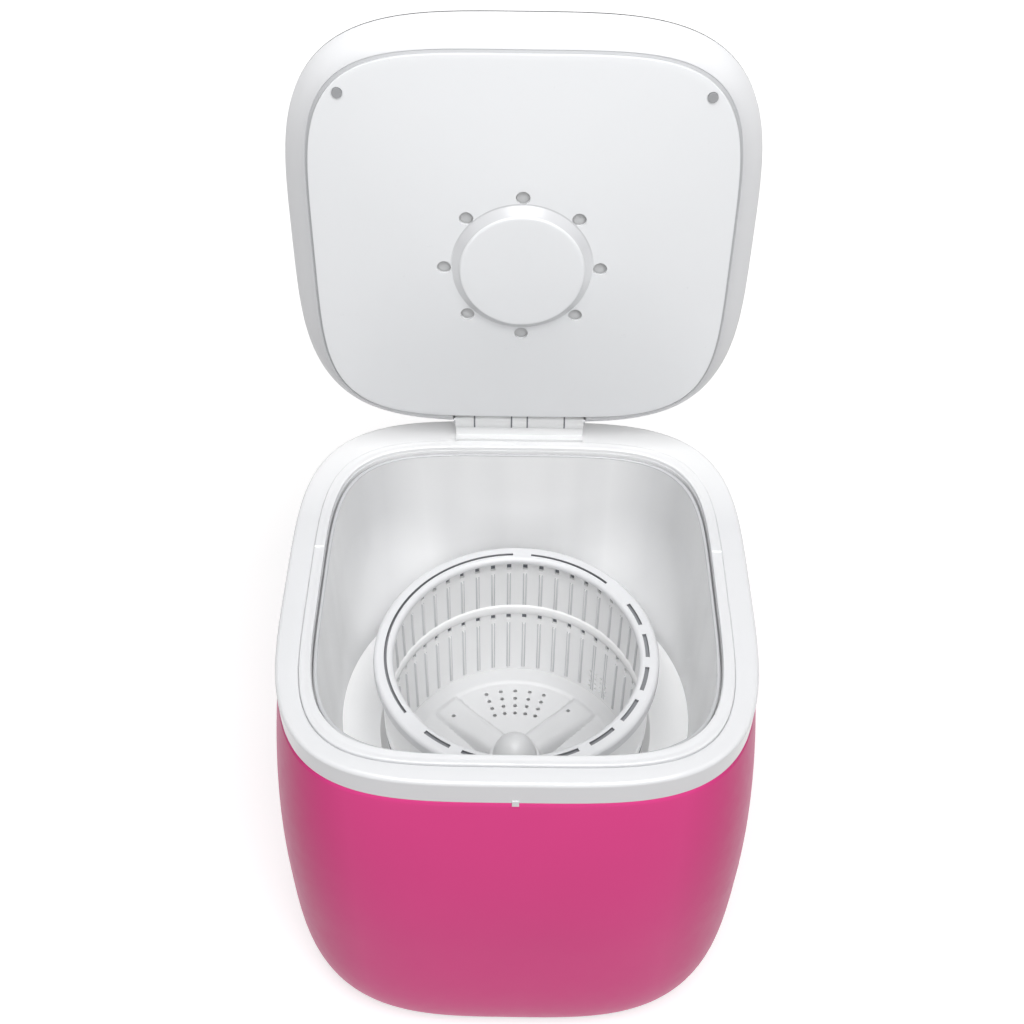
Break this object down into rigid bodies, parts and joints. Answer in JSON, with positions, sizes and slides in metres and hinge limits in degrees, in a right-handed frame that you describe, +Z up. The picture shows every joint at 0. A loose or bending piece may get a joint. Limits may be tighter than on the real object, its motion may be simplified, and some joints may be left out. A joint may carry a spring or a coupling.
{
  "type": "portable washing machine",
  "caption": "Compact top-loading washing machine: rounded pink casing, white collar, square tub with a lift-out spin basket, and a hinged white lid standing open.",
  "frame": {"origin": "on the floor, under the vertical drive axis", "axes": "+Z up along the drive axis, -Y to the front, +Y to the hinge and the rear fittings"},
  "size_m": [0.39, 0.4307, 0.7373],
  "materials": {
    "white_plastic": "glossy",
    "grey_plastic": "satin",
    "pink_plastic": "glossy",
    "white_rubber": "matte",
    "black_rubber": "matte",
    "black_plastic": "satin",
    "steel": "brushed",
    "cast_alloy": "satin",
    "painted_steel": "satin",
    "bronze": "satin",
    "copper": "satin"
  },
  "bodies": {
    "housing": {"casing": "pink_plastic", "front_clip": "white_plastic", "collar": "white_plastic", "lid_seal": "white_rubber", "tub": "grey_plastic", "tub_bowl": "grey_plastic", "drain_grille": "grey_plastic", "shaft_seal": "black_rubber", "bearing_housing": "cast_alloy", "bearing_bushes": "bronze", "bearing_bolts": "steel", "base_pan": "black_plastic", "foot_ring": "black_rubber", "base_screws": "steel", "motor_plate": "steel", "motor_posts": "steel", "motor_bolts": "steel", "motor_can": "painted_steel", "motor_shield": "cast_alloy", "motor_stator": "copper", "drive_belt": "black_rubber", "capacitor": "grey_plastic", "capacitor_clip": "steel", "drain_elbow": "black_rubber", "drain_spigot": "grey_plastic", "cord_gland": "black_plastic", "gland_nut": "black_plastic", "terminal_box": "white_plastic", "reed_switch": "black_plastic", "hinge_bracket": "white_plastic", "hinge_pin": "steel", "hinge_screws": "steel"},
    "lid": {"lid_top": "white_plastic", "lid_rim": "white_plastic", "lid_panel": "white_plastic", "lid_frame": "grey_plastic", "hinge_arms": "white_plastic", "arm_screws": "steel", "lid_screws": "steel", "timer_body": "black_plastic", "dial_plate": "grey_plastic", "lid_magnet": "steel"},
    "knob": {"timer_knob": "white_plastic", "timer_shaft": "steel"},
    "drive": {"drive_shaft": "steel", "large_pulley": "cast_alloy", "pulley_nut": "steel", "pulsator": "grey_plastic", "pulsator_screw": "steel"},
    "basket": {"basket_wall": "white_plastic", "basket_base": "white_plastic", "balance_ring": "white_plastic", "hub_cap": "white_plastic"},
    "rotor": {"motor_rotor": "steel", "motor_shaft": "steel", "small_pulley": "cast_alloy"}
  },
  "joints": [
    {"name": "lid_hinge", "type": "hinge", "parent": "housing", "child": "lid", "pos_m": [0, 0.161, 0.39], "axis": [-1, 0, 0], "range_deg": [-94, 0]},
    {"name": "timer", "type": "hinge", "parent": "lid", "child": "knob", "pos_m": [0, 0.20066, 0.54862], "axis": [0, 0.9976, -0.0698], "range_deg": [0, 300]},
    {"name": "drive_spin", "type": "hinge", "parent": "housing", "child": "drive", "pos_m": [0, 0, 0.1], "axis": [0, 0, 1], "continuous": true},
    {"name": "basket_lift", "type": "slide", "parent": "drive", "child": "basket", "axis": [0, 0, 1], "range_m": [0, 0.08]},
    {"name": "motor_spin", "type": "hinge", "parent": "housing", "child": "rotor", "pos_m": [0.10239, -0.0717, 0.06], "axis": [0, 0, 1], "continuous": true}
  ],
  "couplings": [
    {"joint": "motor_spin", "follows": "drive_spin", "ratio": 6}
  ]
}
